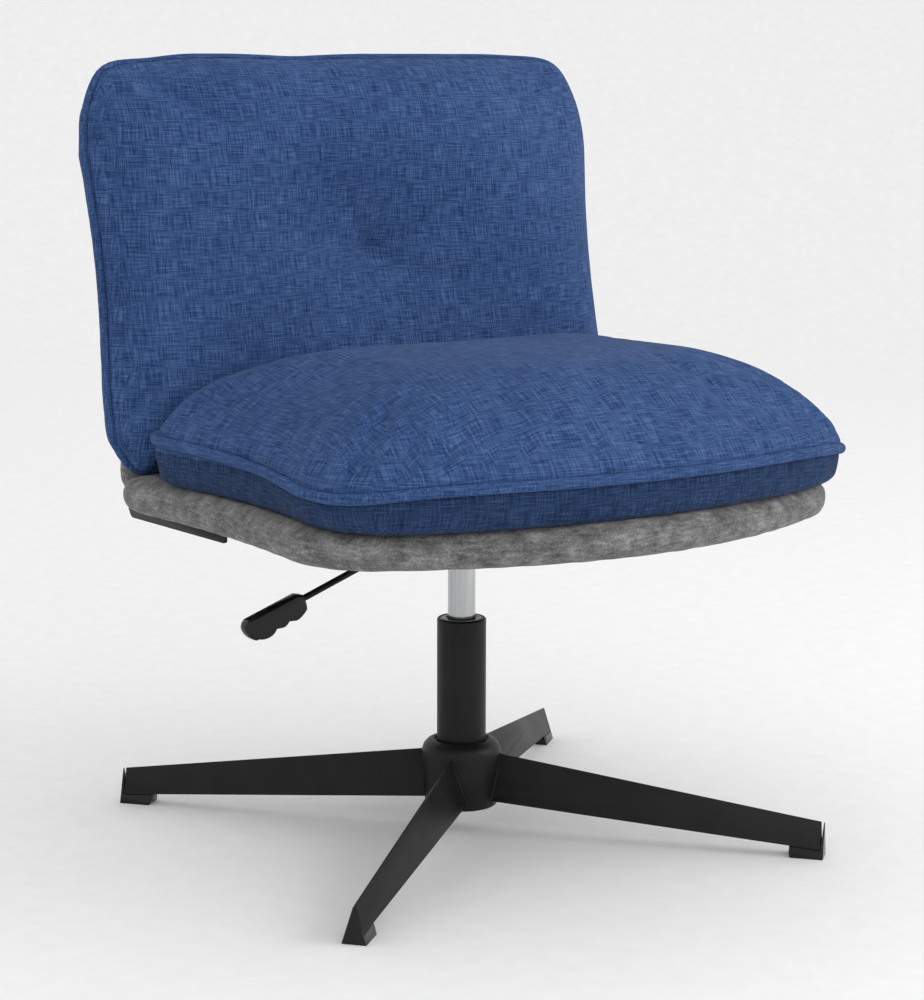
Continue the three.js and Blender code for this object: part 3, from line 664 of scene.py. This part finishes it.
back_cushion = even_skin("back_cushion", "back_cushion_soft", 6)
local = lower_corners(top_wave(to_back(points_of(back_cushion))))
local[:, 2] -= np.clip(local[:, 2], 0, None) * 0.08
local = tuft(local, seed=11)
move_points(back_cushion, from_back(local))
back_line = from_back(lower_corners(top_wave(back_line_local)))
near_seam, _ = distance_to(from_back(local), back_line)
tuft_core = (np.hypot(local[:, 0], local[:, 1] - TUFT_UP) < 12 * MM) & (local[:, 2] > 0)
swell(back_cushion, (local[:, 2] < -30 * MM) | (near_seam < HELD_BY_SEAM) | tuft_core, 12)
finer(back_cushion)
puckers(back_cushion, back_line, seed=7)
cover(back_cushion, "blue_weave")
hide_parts("back_cushion")
piping("back_piping", back_line, Vector(back_out), 4.2, seed=9)

# %% [markdown]
# ## The grey panels
# The seat panel and the back shell are thin foam over a board, with the cloth pulled round the edge. They
# are firmer than the cushions, so they swell only a little, and the cloth gathers faintly round the rim.

# %% Make the seat panel and the back shell
def padded_panel(node, name, seed, cap_mm, held_height, height_of):
    piece = even_skin(node, name, 5, smoothing=4)
    points = points_of(piece)
    swell(piece, np.abs(height_of(points) - held_height) < 4 * MM, cap_mm, pressure=2.0)
    finer(piece)
    points, normals = points_of(piece), normals_of(piece)
    random = np.random.default_rng(seed)
    turn = np.arctan2(points[:, 1], points[:, 0]) if node == "seat_platform" else np.arctan2(
        points[:, 2] - points[:, 2].mean(), points[:, 0])
    wave = sum(np.sin(n * turn + random.uniform(0, 6.28)) for n in (37, 53, 71)) / 3
    move_points(piece, points + normals * (0.35 * MM * wave)[:, None])
    cover(piece, "grey_suede")
    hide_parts(node)
    return piece

platform_low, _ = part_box("seat_platform")
padded_panel("seat_platform", "seat_panel_soft", 21, 2.5, platform_low.z, lambda p: p[:, 2])
SHELL_FRONT = -37 * MM
padded_panel("back_shell", "back_shell_soft", 23, 2.5, SHELL_FRONT, lambda p: to_back(p)[:, 2])

# %% [markdown]
# ## The cloth over the seat board
# The board lies in a pocket in the seat panel. Left bare, its plywood shows in the slit behind the seat
# cushion, so a piece of the grey cloth is stretched over it. Its outline is the board's own, and it lies
# just above the flanges of the tee nuts.

# %% Stretch the cloth over the board
CLOTH_THICK = 1.2 * MM

def board_cloth():
    solid = np.array([v.co for v in frame["nodes"]["seat_board"].data.vertices])
    middle = (solid[:, :2].max(0) + solid[:, :2].min(0)) / 2
    away = solid[:, :2] - middle
    rim = away[(np.hypot(*away.T) > 200 * MM) & (solid[:, 2] > solid[:, 2].max() - MM)]
    turn = np.round(np.arctan2(rim[:, 1], rim[:, 0]), 4)
    _, keep = np.unique(turn, return_index=True)
    rim = rim[keep] + middle
    n, low = len(rim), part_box("tee_nut_1")[1].z + 0.2 * MM
    points = [(x, y, z) for z in (low, low + CLOTH_THICK) for x, y in rim]
    points += [(*middle, low), (*middle, low + CLOTH_THICK)]
    faces = []
    for i in range(n):
        j = (i + 1) % n
        faces += [(i, j, n + j, n + i), (2 * n, j, i), (2 * n + 1, n + i, n + j)]
    mesh = bpy.data.meshes.new("board_cloth")
    mesh.from_pydata(points, [], faces)
    piece = bpy.data.objects.new("board_cloth", mesh)
    scene.collection.objects.link(piece)
    cover(piece, "grey_suede")

board_cloth()

# %% [markdown]
# ## Welds on the base
# Each leg is a folded triangle of steel welded to the hub. The weld is a thin, uneven fillet that runs up
# one side of the leg, over its ridge and down the other. It is swept like the piping, but open-ended.

# %% Lay the weld beads
hub_low, hub_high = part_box("hub")
hub_middle = (hub_low + hub_high) / 2
HUB_FOOT_R, HUB_SHOULDER_R = 37 * MM, 40.5 * MM

def weld_bead(leg, turn, seed):
    random = np.random.default_rng(seed)
    low, high = 36 * MM, 81 * MM
    rise = np.concatenate([np.linspace(low, high, 22), np.linspace(high, low, 22)[1:]])
    side = np.concatenate([np.full(22, -1.0), np.full(21, 1.0)])
    half = (high - rise) * 0.33
    share = (rise - hub_low.z) / (84 * MM - hub_low.z)
    radius = HUB_FOOT_R + (HUB_SHOULDER_R - HUB_FOOT_R) * share
    spread = side * half
    reach = np.sqrt(np.maximum(radius**2 - spread**2, 1e-9)) + 0.3 * MM
    x = hub_middle.x + reach * math.cos(turn) - spread * math.sin(turn)
    y = hub_middle.y + reach * math.sin(turn) + spread * math.cos(turn)
    curve = bpy.data.curves.new("weld_" + leg, "CURVE")
    curve.dimensions = "3D"
    curve.bevel_depth = 1.3 * MM
    curve.bevel_resolution = 2
    curve.use_fill_caps = True
    spline = curve.splines.new("POLY")
    spline.points.add(len(x) - 1)
    for point, px, py, pz in zip(spline.points, x, y, rise):
        point.co = (px, py, pz, 1)
        point.radius = 1 + random.uniform(-0.18, 0.18)
    shaped = bpy.data.objects.new("weld_" + leg, curve)
    scene.collection.objects.link(shaped)
    bpy.context.view_layer.update()
    mesh = bpy.data.meshes.new_from_object(shaped.evaluated_get(bpy.context.evaluated_depsgraph_get()))
    bpy.data.objects.remove(shaped)
    piece = bpy.data.objects.new("weld_" + leg, mesh)
    scene.collection.objects.link(piece)
    cover(piece, "black_powder_coat", "base")

for i, leg in enumerate(("front_left", "front_right", "rear_right", "rear_left")):
    low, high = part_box("leg_" + leg)
    end = (low + high) / 2
    weld_bead(leg, math.atan2(end.y - hub_middle.y, end.x - hub_middle.x), seed=31 + i)
print("welds on 4 legs")

# %% [markdown]
# ## The size after dressing
# Puffing cloth up must not change the size of the chair, so each corner of the dressed model's box is
# printed as its shift from the matching corner of the bare solids' box.

# %% Print how far both box corners moved
dressed_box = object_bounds()
for name, corner, was in zip(("low", "high"), dressed_box, cad_box):
    print(name, "corner moved by", [round((a - b) / MM, 1) for a, b in zip(corner, was)], "mm")
